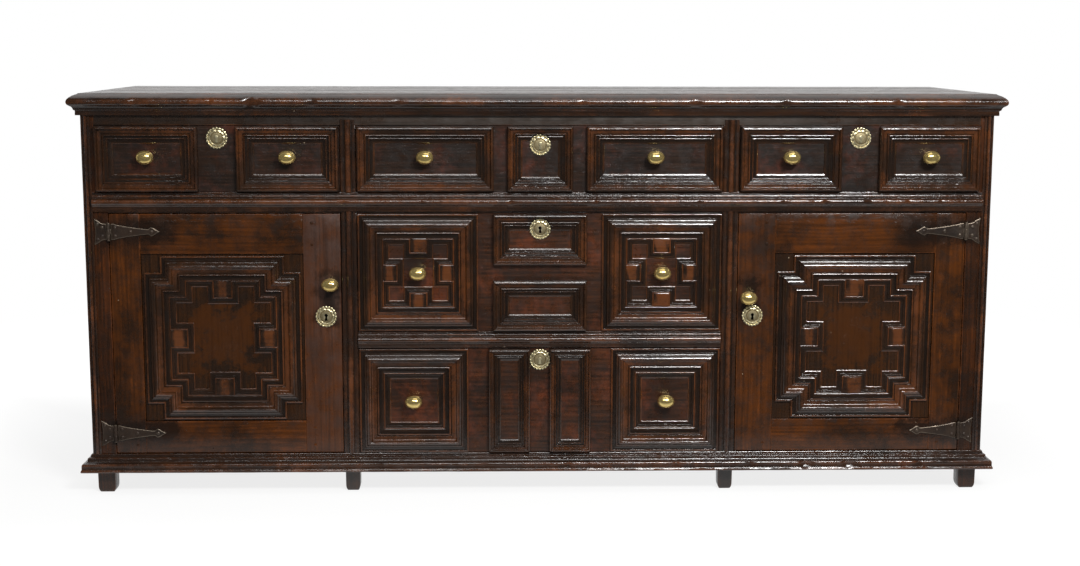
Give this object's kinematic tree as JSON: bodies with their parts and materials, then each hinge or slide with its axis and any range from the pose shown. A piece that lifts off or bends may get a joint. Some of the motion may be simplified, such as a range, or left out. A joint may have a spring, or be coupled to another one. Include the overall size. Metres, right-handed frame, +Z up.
{
  "type": "joined dresser base",
  "caption": "Long oak dresser base with drawers across the top, deep drawers between cupboards, applied geometric mouldings, knobs, escutcheons and strap hinges.",
  "frame": {"origin": "on the floor, below the middle of the whole object, knobs and cornice included", "axes": "+Z up, the front faces -Y, +X to the right for someone who faces the front"},
  "size_m": [1.988, 0.582, 0.867],
  "materials": {
    "oak": "old waxed oak, dark red-brown, glossy, paler where worn",
    "oak_dark": "old waxed oak, near black in the hollows, red-brown on worn edges, glossy",
    "oak_inside": "dry unwaxed oak, grey-brown, matt",
    "brass": "cast brass, polished on top, darker in the hollows",
    "wrought_iron": "forged wrought iron, blackened and waxed"
  },
  "bodies": {
    "carcass": {"top_boards": "oak_dark", "cornice": "oak_dark", "corner_posts": "oak", "inner_posts": "oak", "front_rails": "oak", "rail_mouldings": "oak_dark", "post_beads": "oak_dark", "base_moulding": "oak_dark", "end_and_back_rails": "oak", "end_panels": "oak", "back_boards": "oak_inside", "floor_boards": "oak_inside", "partitions": "oak_inside", "cross_rails": "oak_inside", "drawer_runners": "oak_inside", "hinge_plates": "wrought_iron", "frame_pegs": "oak_dark"},
    "top_left_drawer": {"top_left_drawer_front": "oak", "top_left_drawer_mouldings": "oak_dark", "top_left_drawer_box": "oak_inside", "top_left_drawer_knobs": "brass", "top_left_drawer_escutcheon": "brass"},
    "top_centre_drawer": {"top_centre_drawer_front": "oak", "top_centre_drawer_mouldings": "oak_dark", "top_centre_drawer_box": "oak_inside", "top_centre_drawer_knobs": "brass", "top_centre_drawer_escutcheon": "brass"},
    "top_right_drawer": {"top_right_drawer_front": "oak", "top_right_drawer_mouldings": "oak_dark", "top_right_drawer_box": "oak_inside", "top_right_drawer_knobs": "brass", "top_right_drawer_escutcheon": "brass"},
    "upper_deep_drawer": {"upper_deep_drawer_front": "oak", "upper_deep_drawer_mouldings": "oak_dark", "upper_deep_drawer_box": "oak_inside", "upper_deep_drawer_knobs": "brass", "upper_deep_drawer_escutcheon": "brass", "upper_deep_drawer_lock": "wrought_iron"},
    "lower_deep_drawer": {"lower_deep_drawer_front": "oak", "lower_deep_drawer_mouldings": "oak_dark", "lower_deep_drawer_box": "oak_inside", "lower_deep_drawer_knobs": "brass", "lower_deep_drawer_escutcheon": "brass"},
    "upper_deep_drawer_bolt": {"upper_deep_drawer_lock_bolt": "wrought_iron"},
    "left_door": {"left_door_frame": "oak", "left_door_panel": "oak", "left_door_mouldings": "oak_dark", "left_door_knob": "brass", "left_door_escutcheon": "brass", "left_door_straps": "wrought_iron", "left_door_lock": "wrought_iron"},
    "left_door_bolt": {"left_door_lock_bolt": "wrought_iron"},
    "right_door": {"right_door_frame": "oak", "right_door_panel": "oak", "right_door_mouldings": "oak_dark", "right_door_knob": "brass", "right_door_escutcheon": "brass", "right_door_straps": "wrought_iron", "right_door_lock": "wrought_iron"},
    "right_door_bolt": {"right_door_lock_bolt": "wrought_iron"}
  },
  "joints": [
    {"name": "top_left_drawer_slide", "type": "slide", "parent": "carcass", "child": "top_left_drawer", "axis": [0, -1, 0], "range_m": [0, 0.32]},
    {"name": "top_centre_drawer_slide", "type": "slide", "parent": "carcass", "child": "top_centre_drawer", "axis": [0, -1, 0], "range_m": [0, 0.32]},
    {"name": "top_right_drawer_slide", "type": "slide", "parent": "carcass", "child": "top_right_drawer", "axis": [0, -1, 0], "range_m": [0, 0.32]},
    {"name": "upper_deep_drawer_slide", "type": "slide", "parent": "carcass", "child": "upper_deep_drawer", "axis": [0, -1, 0], "range_m": [0, 0.32]},
    {"name": "lower_deep_drawer_slide", "type": "slide", "parent": "carcass", "child": "lower_deep_drawer", "axis": [0, -1, 0], "range_m": [0, 0.32]},
    {"name": "upper_deep_drawer_bolt_slide", "type": "slide", "parent": "upper_deep_drawer", "child": "upper_deep_drawer_bolt", "axis": [0, 0, 1], "range_m": [0, 0.01]},
    {"name": "left_door_hinge", "type": "hinge", "parent": "carcass", "child": "left_door", "pos_m": [-0.91925, -0.2616, 0.3535], "axis": [0, 0, -1], "range_deg": [0, 170]},
    {"name": "left_door_bolt_slide", "type": "slide", "parent": "left_door", "child": "left_door_bolt", "axis": [1, 0, 0], "range_m": [0, 0.01]},
    {"name": "right_door_hinge", "type": "hinge", "parent": "carcass", "child": "right_door", "pos_m": [0.91925, -0.2616, 0.3535], "axis": [0, 0, 1], "range_deg": [0, 170]},
    {"name": "right_door_bolt_slide", "type": "slide", "parent": "right_door", "child": "right_door_bolt", "axis": [-1, 0, 0], "range_m": [0, 0.01]}
  ]
}
